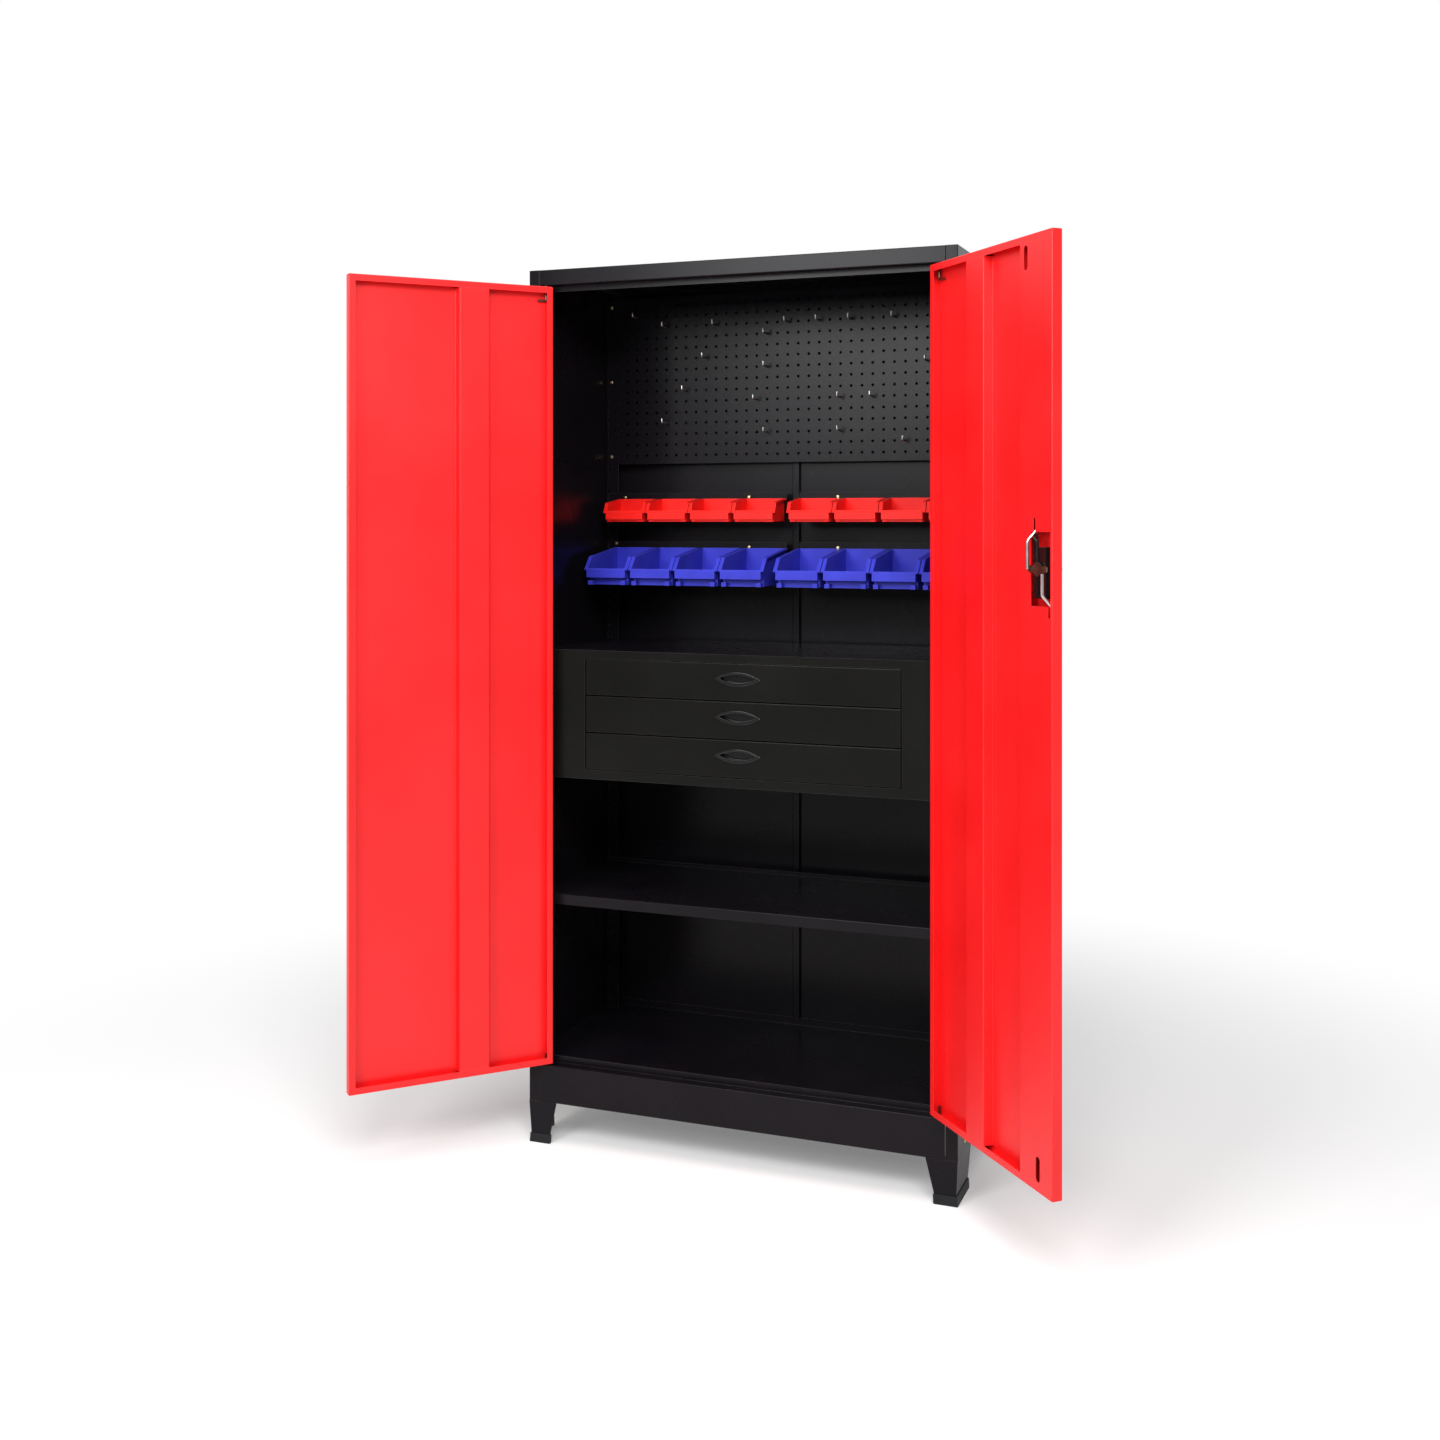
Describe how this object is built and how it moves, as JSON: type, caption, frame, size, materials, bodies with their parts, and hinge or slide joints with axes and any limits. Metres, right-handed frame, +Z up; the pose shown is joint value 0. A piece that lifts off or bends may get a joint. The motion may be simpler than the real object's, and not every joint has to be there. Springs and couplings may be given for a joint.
{
  "type": "tool cabinet",
  "caption": "Tall two-door steel tool cabinet on short legs, with perforated tool panel, hanging bins, drawer unit, shelf and rod lock.",
  "frame": {"origin": "on the floor, under the middle of the carcass", "axes": "+X to the right seen from the front, +Y to the back, +Z up"},
  "size_m": [1.386, 0.716, 1.8],
  "materials": {
    "black_enamel": "satin powder coat",
    "red_enamel": "satin powder coat",
    "red_plastic": "moulded",
    "blue_plastic": "moulded",
    "black_plastic": "moulded",
    "black_rubber": "moulded",
    "zinc_wire": "zinc plated",
    "yellow_zinc": "yellow zinc plated",
    "chrome": "polished"
  },
  "bodies": {
    "carcass": {"side_panel_left": "black_enamel", "side_panel_right": "black_enamel", "top_panel": "black_enamel", "plinth_skirt": "black_enamel", "floor_panel": "black_enamel", "back_panels": "black_enamel", "back_centre_post": "black_enamel", "shelf_uprights": "black_enamel", "legs": "black_enamel", "foot_caps": "black_rubber", "peg_panel": "black_enamel", "peg_hooks": "zinc_wire", "fixing_screws": "yellow_zinc", "bin_rails": "black_enamel", "shelf": "black_enamel", "shelf_clips": "zinc_wire", "drawer_unit_frame": "black_enamel", "drawer_unit_top": "black_enamel", "drawer_unit_base": "black_enamel", "drawer_unit_runners": "black_enamel"},
    "left_door": {"left_door_panel": "red_enamel", "left_door_stiffener": "red_enamel", "left_lower_pin": "zinc_wire"},
    "left_top_pin": {"left_top_pin": "zinc_wire"},
    "right_door": {"right_door_panel": "red_enamel", "right_door_stiffener": "red_enamel", "lock_stile": "red_enamel", "right_lower_pin": "zinc_wire", "lock_housing": "black_plastic"},
    "right_top_pin": {"right_top_pin": "zinc_wire"},
    "lock_handle": {"lock_handle": "black_plastic", "lock_cam": "zinc_wire"},
    "key_cylinder": {"key_cylinder": "chrome"},
    "upper_lock_rod": {"upper_lock_rod": "zinc_wire"},
    "lower_lock_rod": {"lower_lock_rod": "zinc_wire"},
    "drawer_1": {"drawer_tray_1": "black_enamel", "drawer_pull_1": "black_plastic", "drawer_runners_1": "zinc_wire"},
    "drawer_2": {"drawer_tray_2": "black_enamel", "drawer_pull_2": "black_plastic", "drawer_runners_2": "zinc_wire"},
    "drawer_3": {"drawer_tray_3": "black_enamel", "drawer_pull_3": "black_plastic", "drawer_runners_3": "zinc_wire"},
    "red_bin_left_4": {"red_bin_left_4": "red_plastic"},
    "red_bin_right_1": {"red_bin_right_1": "red_plastic"},
    "red_bin_left_3": {"red_bin_left_3": "red_plastic"},
    "red_bin_right_2": {"red_bin_right_2": "red_plastic"},
    "red_bin_left_2": {"red_bin_left_2": "red_plastic"},
    "red_bin_right_3": {"red_bin_right_3": "red_plastic"},
    "red_bin_left_1": {"red_bin_left_1": "red_plastic"},
    "red_bin_right_4": {"red_bin_right_4": "red_plastic"},
    "blue_bin_left_4": {"blue_bin_left_4": "blue_plastic"},
    "blue_bin_right_1": {"blue_bin_right_1": "blue_plastic"},
    "blue_bin_left_3": {"blue_bin_left_3": "blue_plastic"},
    "blue_bin_right_2": {"blue_bin_right_2": "blue_plastic"},
    "blue_bin_left_2": {"blue_bin_left_2": "blue_plastic"},
    "blue_bin_right_3": {"blue_bin_right_3": "blue_plastic"},
    "blue_bin_left_1": {"blue_bin_left_1": "blue_plastic"},
    "blue_bin_right_4": {"blue_bin_right_4": "blue_plastic"}
  },
  "joints": [
    {"name": "left_door_hinge", "type": "hinge", "parent": "carcass", "child": "left_door", "pos_m": [-0.414, -0.195, 0.965], "axis": [0, 0, -1], "range_deg": [-132, 1.5]},
    {"name": "right_door_hinge", "type": "hinge", "parent": "carcass", "child": "right_door", "pos_m": [0.414, -0.195, 0.965], "axis": [0, 0, 1], "range_deg": [-132, 1.5]},
    {"name": "left_top_pin_slide", "type": "slide", "parent": "left_door", "child": "left_top_pin", "axis": [0, 0, -1], "range_m": [0, 0.012], "stiffness_N_per_m": 400, "springref_m": -0.008},
    {"name": "right_top_pin_slide", "type": "slide", "parent": "right_door", "child": "right_top_pin", "axis": [0, 0, -1], "range_m": [0, 0.012], "stiffness_N_per_m": 400, "springref_m": -0.008},
    {"name": "lock_turn", "type": "hinge", "parent": "right_door", "child": "lock_handle", "pos_m": [0.67232, -0.47442, 1.203], "axis": [0.7431, 0.6691, 0], "range_deg": [0, 90]},
    {"name": "key_turn", "type": "hinge", "parent": "lock_handle", "child": "key_cylinder", "pos_m": [0.67232, -0.47442, 1.203], "axis": [0.7431, 0.6691, 0], "range_deg": [0, 90]},
    {"name": "upper_rod_slide", "type": "slide", "parent": "right_door", "child": "upper_lock_rod", "axis": [0, 0, 1], "range_m": [0, 0.02]},
    {"name": "lower_rod_slide", "type": "slide", "parent": "right_door", "child": "lower_lock_rod", "axis": [0, 0, -1], "range_m": [0, 0.02]},
    {"name": "drawer_1_slide", "type": "slide", "parent": "carcass", "child": "drawer_1", "axis": [0, -1, 0], "range_m": [0, 0.25]},
    {"name": "drawer_2_slide", "type": "slide", "parent": "carcass", "child": "drawer_2", "axis": [0, -1, 0], "range_m": [0, 0.25]},
    {"name": "drawer_3_slide", "type": "slide", "parent": "carcass", "child": "drawer_3", "axis": [0, -1, 0], "range_m": [0, 0.25]},
    {"name": "red_bin_left_4_lift", "type": "slide", "parent": "carcass", "child": "red_bin_left_4", "axis": [0, 0, 1], "range_m": [0, 0.015]},
    {"name": "red_bin_right_1_lift", "type": "slide", "parent": "carcass", "child": "red_bin_right_1", "axis": [0, 0, 1], "range_m": [0, 0.015]},
    {"name": "red_bin_left_3_lift", "type": "slide", "parent": "carcass", "child": "red_bin_left_3", "axis": [0, 0, 1], "range_m": [0, 0.015]},
    {"name": "red_bin_right_2_lift", "type": "slide", "parent": "carcass", "child": "red_bin_right_2", "axis": [0, 0, 1], "range_m": [0, 0.015]},
    {"name": "red_bin_left_2_lift", "type": "slide", "parent": "carcass", "child": "red_bin_left_2", "axis": [0, 0, 1], "range_m": [0, 0.015]},
    {"name": "red_bin_right_3_lift", "type": "slide", "parent": "carcass", "child": "red_bin_right_3", "axis": [0, 0, 1], "range_m": [0, 0.015]},
    {"name": "red_bin_left_1_lift", "type": "slide", "parent": "carcass", "child": "red_bin_left_1", "axis": [0, 0, 1], "range_m": [0, 0.015]},
    {"name": "red_bin_right_4_lift", "type": "slide", "parent": "carcass", "child": "red_bin_right_4", "axis": [0, 0, 1], "range_m": [0, 0.015]},
    {"name": "blue_bin_left_4_lift", "type": "slide", "parent": "carcass", "child": "blue_bin_left_4", "axis": [0, 0, 1], "range_m": [0, 0.015]},
    {"name": "blue_bin_right_1_lift", "type": "slide", "parent": "carcass", "child": "blue_bin_right_1", "axis": [0, 0, 1], "range_m": [0, 0.015]},
    {"name": "blue_bin_left_3_lift", "type": "slide", "parent": "carcass", "child": "blue_bin_left_3", "axis": [0, 0, 1], "range_m": [0, 0.015]},
    {"name": "blue_bin_right_2_lift", "type": "slide", "parent": "carcass", "child": "blue_bin_right_2", "axis": [0, 0, 1], "range_m": [0, 0.015]},
    {"name": "blue_bin_left_2_lift", "type": "slide", "parent": "carcass", "child": "blue_bin_left_2", "axis": [0, 0, 1], "range_m": [0, 0.015]},
    {"name": "blue_bin_right_3_lift", "type": "slide", "parent": "carcass", "child": "blue_bin_right_3", "axis": [0, 0, 1], "range_m": [0, 0.015]},
    {"name": "blue_bin_left_1_lift", "type": "slide", "parent": "carcass", "child": "blue_bin_left_1", "axis": [0, 0, 1], "range_m": [0, 0.015]},
    {"name": "blue_bin_right_4_lift", "type": "slide", "parent": "carcass", "child": "blue_bin_right_4", "axis": [0, 0, 1], "range_m": [0, 0.015]}
  ],
  "couplings": [
    {"joint": "lock_turn", "follows": "lower_rod_slide", "rad_per_m": 78.539},
    {"joint": "upper_rod_slide", "follows": "lower_rod_slide", "ratio": 1}
  ]
}
